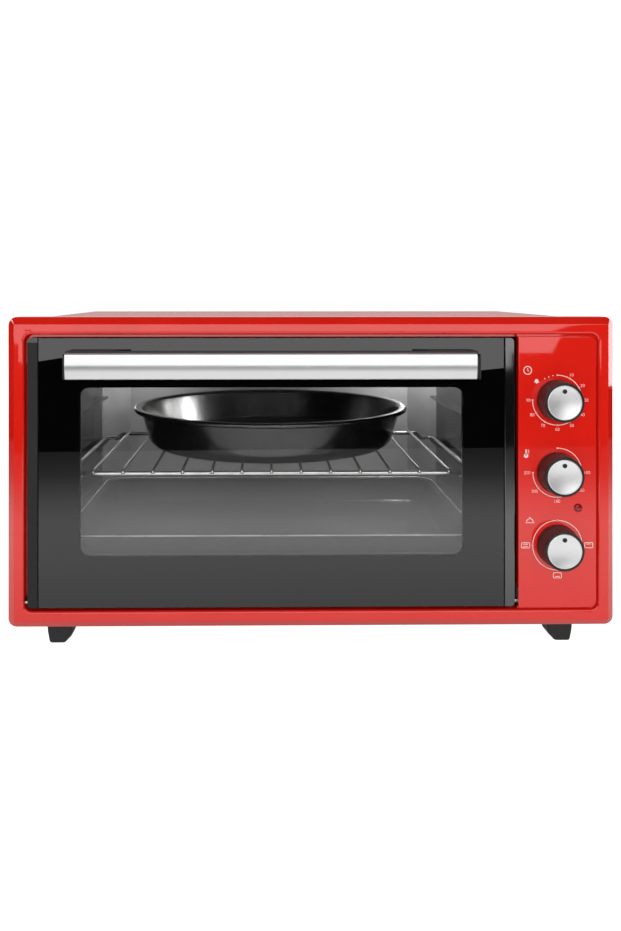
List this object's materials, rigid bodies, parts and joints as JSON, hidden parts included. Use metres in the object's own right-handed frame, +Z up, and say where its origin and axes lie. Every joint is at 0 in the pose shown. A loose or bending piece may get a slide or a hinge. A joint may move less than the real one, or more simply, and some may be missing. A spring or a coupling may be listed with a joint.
{
  "type": "electric oven",
  "caption": "Table-top electric oven with a drop-down glass door, bar handle, control knobs, wire rack, round pan and baking tray.",
  "frame": {"origin": "on the table, under the middle of the whole object", "axes": "+X to the right as seen from the front, +Y from the front to the back, +Z up"},
  "size_m": [0.584, 0.429, 0.321],
  "materials": {
    "body_paint": "gloss red enamel paint",
    "black_sheet": "satin black paint",
    "zinc_sheet": "dull zinc-plated sheet",
    "cavity_enamel": "grey heat-proof coating, satin",
    "insulation": "mineral wool",
    "heater_sheath": "heat-darkened steel sheath",
    "bright_steel": "bright drawn steel",
    "foot_rubber": "moulded rubber",
    "fastener_steel": "zinc-plated",
    "black_plastic": "moulded heat-proof plastic",
    "pale_plastic": "moulded plastic",
    "lens_red": "clear red plastic, unlit",
    "knob_plastic": "moulded, finely ribbed",
    "knob_cap_steel": "spun finish",
    "door_glass": "tinted glass, black printed border",
    "clear_glass": "clear heat-proof glass",
    "seal_rubber": "silicone",
    "trim_aluminium": "dark anodised",
    "handle_steel": "brushed",
    "chrome_wire": "bright chrome",
    "pan_coating": "gloss non-stick coating",
    "tray_enamel": "gloss grey enamel"
  },
  "bodies": {
    "housing": {"front_bezel": "body_paint", "front_frame": "black_sheet", "outer_case": "body_paint", "base_plate": "zinc_sheet", "back_panel": "zinc_sheet", "cavity_left_wall": "cavity_enamel", "cavity_right_wall": "cavity_enamel", "cavity_back_wall": "cavity_enamel", "cavity_roof": "cavity_enamel", "cavity_floor": "cavity_enamel", "heat_shield": "zinc_sheet", "insulation_top": "insulation", "insulation_rear": "insulation", "insulation_left": "insulation", "upper_heater": "heater_sheath", "lower_heater": "heater_sheath", "thermostat_sensor": "bright_steel", "foot_front_left": "foot_rubber", "foot_front_right": "foot_rubber", "foot_rear_left": "foot_rubber", "foot_rear_right": "foot_rubber", "back_screw_lower_left": "fastener_steel", "back_screw_lower_right": "fastener_steel", "back_screw_upper_left": "fastener_steel", "back_screw_upper_right": "fastener_steel", "cord_gland": "black_plastic", "terminal_block": "pale_plastic", "control_panel": "body_paint", "control_chassis": "zinc_sheet", "indicator_lens": "lens_red", "timer_unit": "zinc_sheet", "thermostat_unit": "zinc_sheet", "function_switch": "pale_plastic", "hinge_bracket_left": "zinc_sheet", "hinge_bracket_right": "zinc_sheet"},
    "door": {"door_glass": "door_glass", "door_frame": "black_sheet", "door_inner_glass": "clear_glass", "door_seal": "seal_rubber", "door_trim_left": "trim_aluminium", "door_trim_right": "trim_aluminium", "hinge_pin_left": "fastener_steel", "hinge_pin_right": "fastener_steel", "handle_cover": "handle_steel", "handle_body": "black_plastic", "handle_screw_left": "fastener_steel", "handle_screw_right": "fastener_steel"},
    "timer_knob_set": {"timer_knob": "knob_plastic", "timer_knob_cap": "knob_cap_steel", "timer_shaft": "fastener_steel"},
    "thermostat_knob_set": {"thermostat_knob": "knob_plastic", "thermostat_knob_cap": "knob_cap_steel", "thermostat_shaft": "fastener_steel"},
    "function_knob_set": {"function_knob": "knob_plastic", "function_knob_cap": "knob_cap_steel", "function_shaft": "fastener_steel"},
    "rack": {"wire_rack": "chrome_wire", "round_pan": "pan_coating"},
    "tray": {"baking_tray": "tray_enamel"}
  },
  "joints": [
    {"name": "door_hinge", "type": "hinge", "parent": "housing", "child": "door", "pos_m": [-0.03865, -0.17045, 0.047], "axis": [1, 0, 0], "range_deg": [0, 90]},
    {"name": "timer_turn", "type": "hinge", "parent": "housing", "child": "timer_knob_set", "pos_m": [0.2357, -0.18645, 0.241], "axis": [0, 1, 0], "range_deg": [-50, 270]},
    {"name": "thermostat_turn", "type": "hinge", "parent": "housing", "child": "thermostat_knob_set", "pos_m": [0.2357, -0.18645, 0.1713], "axis": [0, 1, 0], "range_deg": [0, 270]},
    {"name": "function_turn", "type": "hinge", "parent": "housing", "child": "function_knob_set", "pos_m": [0.2357, -0.18645, 0.1016], "axis": [0, 1, 0], "range_deg": [0, 270]},
    {"name": "rack_slide", "type": "slide", "parent": "housing", "child": "rack", "axis": [0, -1, 0], "range_m": [0, 0.19]},
    {"name": "tray_slide", "type": "slide", "parent": "housing", "child": "tray", "axis": [0, -1, 0], "range_m": [0, 0.071]}
  ],
  "couplings": [
    {"joint": "rack_slide", "follows": "door_hinge", "m_per_rad": 0.12},
    {"joint": "tray_slide", "follows": "door_hinge", "m_per_rad": 0.045}
  ]
}
